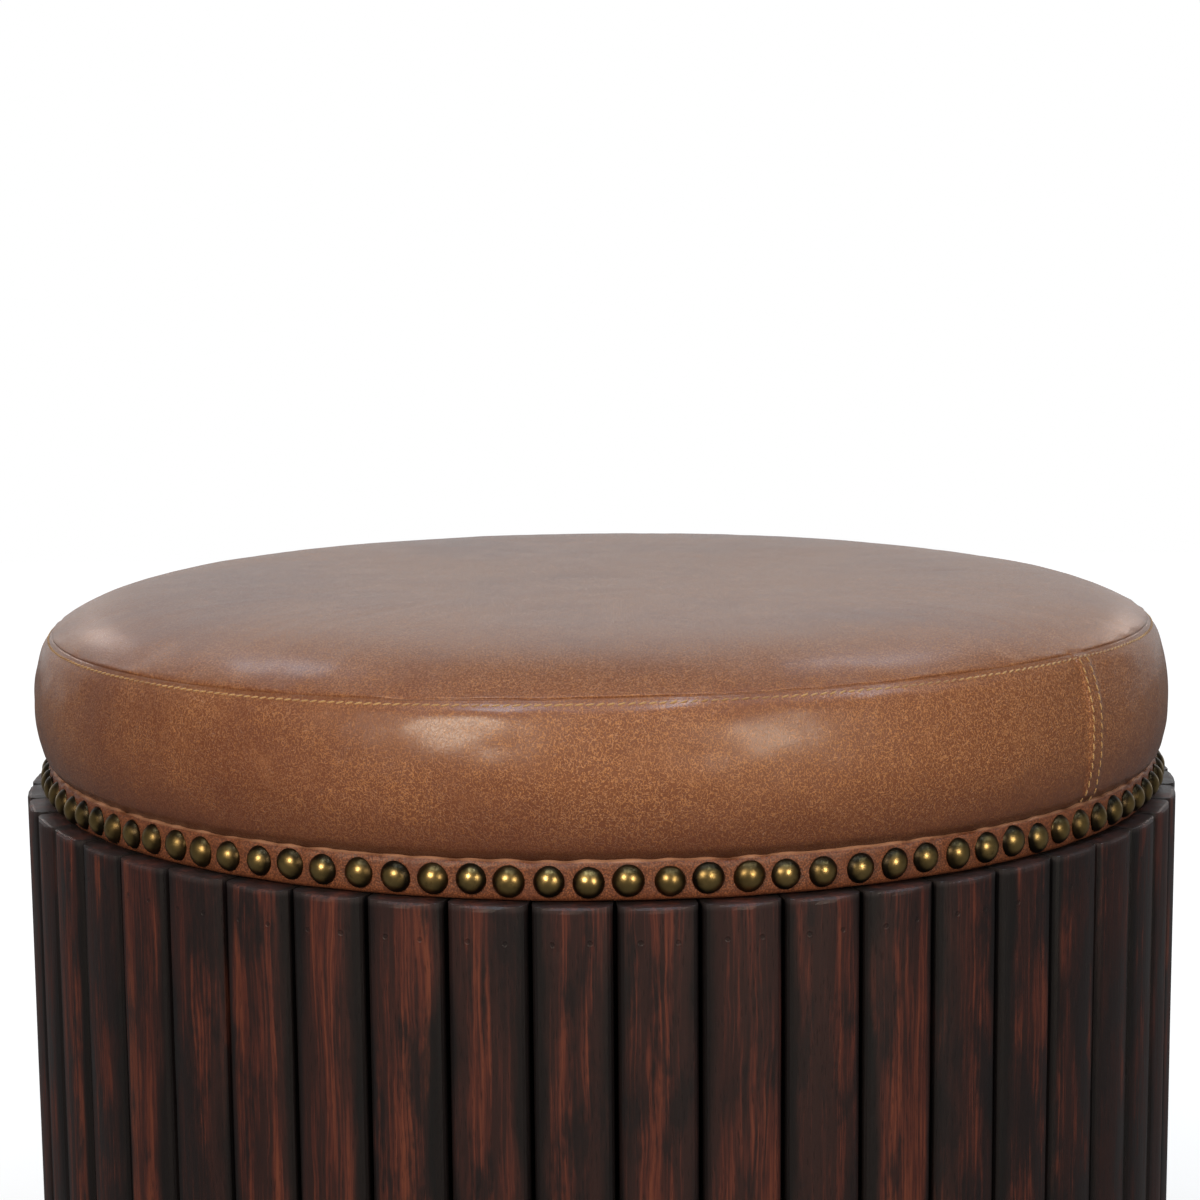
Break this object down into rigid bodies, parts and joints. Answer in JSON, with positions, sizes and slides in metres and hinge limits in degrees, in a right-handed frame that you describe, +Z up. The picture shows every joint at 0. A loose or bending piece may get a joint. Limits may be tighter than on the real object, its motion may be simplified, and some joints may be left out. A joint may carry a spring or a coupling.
{
  "type": "stool",
  "caption": "Round drum stool: upright wooden slats on a hidden hooped frame under a padded leather seat with a nailed leather band.",
  "frame": {"origin": "on the floor, at the middle of the drum", "axes": "+Z up along the drum's axis, front of the stool towards -Y"},
  "size_m": [0.4996, 0.4996, 0.45],
  "materials": {
    "seat_leather": "satin",
    "band_leather": "satin",
    "nail_brass": "satin",
    "slat_wood": "satin",
    "plywood": "matte",
    "softwood": "matte",
    "foam": "matte",
    "wadding": "matte",
    "screw_steel": "satin",
    "glide_plastic": "matte"
  },
  "bodies": {
    "root": {"top_panel": "seat_leather", "boxing_front": "seat_leather", "boxing_back": "seat_leather", "nail_band": "band_leather", "nails": "nail_brass", "wadding": "wadding", "foam_core": "foam", "seat_deck": "plywood", "deck_screws": "screw_steel", "top_hoop": "plywood", "middle_hoop": "plywood", "bottom_hoop": "plywood", "post_screws": "screw_steel", "base_panel": "plywood", "base_screws": "screw_steel", "glides": "glide_plastic", "glide_nails": "screw_steel", "post_1": "softwood", "post_2": "softwood", "post_3": "softwood", "post_4": "softwood", "slats_01": "slat_wood", "slats_02": "slat_wood", "slats_03": "slat_wood", "slats_04": "slat_wood", "slats_05": "slat_wood", "slats_06": "slat_wood", "slats_07": "slat_wood", "slats_08": "slat_wood", "slats_09": "slat_wood", "slats_10": "slat_wood", "slats_11": "slat_wood", "slats_12": "slat_wood", "slats_13": "slat_wood", "slats_14": "slat_wood", "slats_15": "slat_wood", "slats_16": "slat_wood", "slats_17": "slat_wood", "slats_18": "slat_wood", "slats_19": "slat_wood", "slats_20": "slat_wood", "slats_21": "slat_wood", "slats_22": "slat_wood", "slats_23": "slat_wood", "slats_24": "slat_wood", "slats_25": "slat_wood", "slats_26": "slat_wood"}
  },
  "joints": []
}
